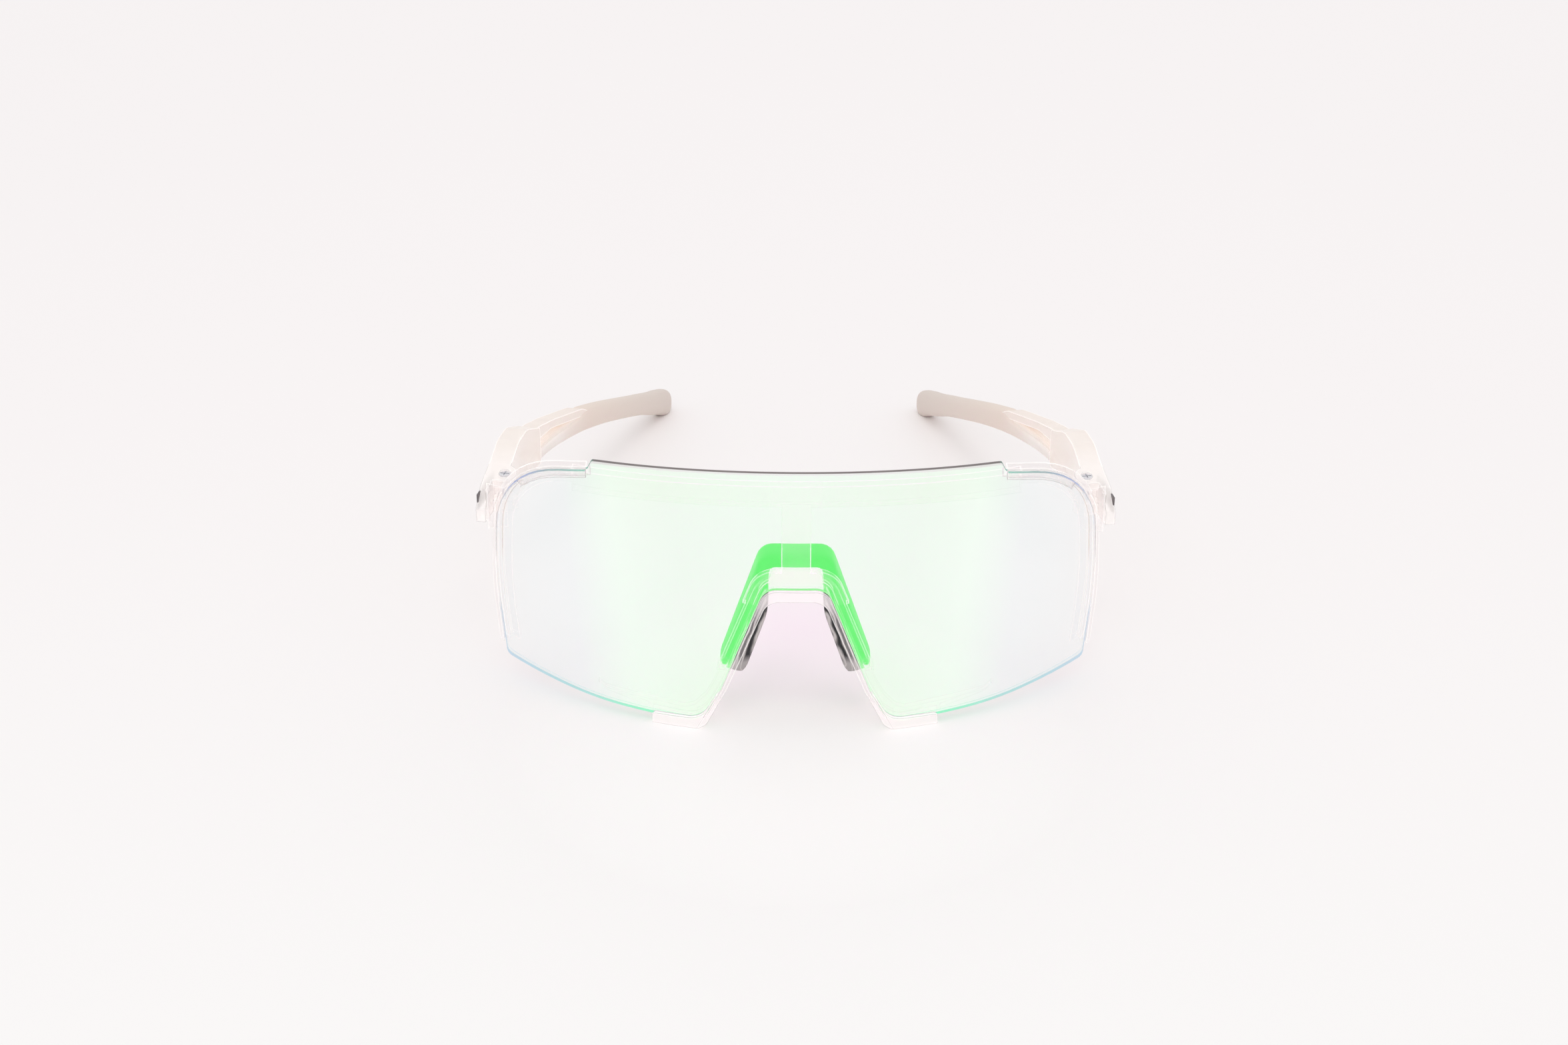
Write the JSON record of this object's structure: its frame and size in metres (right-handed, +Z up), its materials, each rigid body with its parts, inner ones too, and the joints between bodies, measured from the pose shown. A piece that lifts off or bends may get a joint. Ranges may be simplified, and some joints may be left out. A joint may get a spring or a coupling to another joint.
{
  "type": "shield sports sunglasses",
  "caption": "Shield sports sunglasses with a clear frame, a green mirror lens, a rubber nose saddle and folding temples with soft sleeves.",
  "frame": {"origin": "on the table that the open glasses stand on, in the middle of their width and depth", "axes": "+X to the right temple as the picture shows it, -Y the way the lens faces, +Y towards the temple tips, +Z up"},
  "size_m": [0.1378, 0.1691, 0.0588],
  "materials": {
    "mirror_lens": "clear polycarbonate with a green mirror coating",
    "clear_frame": "polished clear nylon",
    "clear_carrier": "polished clear nylon",
    "clear_temple": "polished clear nylon",
    "nose_rubber": "matt dark soft rubber",
    "beige_sleeve": "matt beige soft rubber",
    "grey_inlay": "plain matt grey inlay",
    "screw_steel": "turned stainless steel",
    "insert_brass": "turned brass"
  },
  "bodies": {
    "front": {"frame": "clear_frame", "lens": "mirror_lens", "nose_carrier": "clear_carrier", "nose_pad": "nose_rubber"},
    "left_arm": {"left_temple": "clear_temple", "left_sleeve": "beige_sleeve", "left_stripe": "grey_inlay", "left_hinge_screw": "screw_steel", "left_hinge_insert": "insert_brass"},
    "right_arm": {"right_temple": "clear_temple", "right_sleeve": "beige_sleeve", "right_stripe": "grey_inlay", "right_hinge_screw": "screw_steel", "right_hinge_insert": "insert_brass"}
  },
  "joints": [
    {"name": "left_temple_fold", "type": "hinge", "parent": "front", "child": "left_arm", "pos_m": [-0.0632, -0.03719, 0.032], "axis": [0, 0, -1], "range_deg": [0, 80]},
    {"name": "right_temple_fold", "type": "hinge", "parent": "front", "child": "right_arm", "pos_m": [0.0632, -0.03719, 0.032], "axis": [0, 0, 1], "range_deg": [0, 72]}
  ]
}
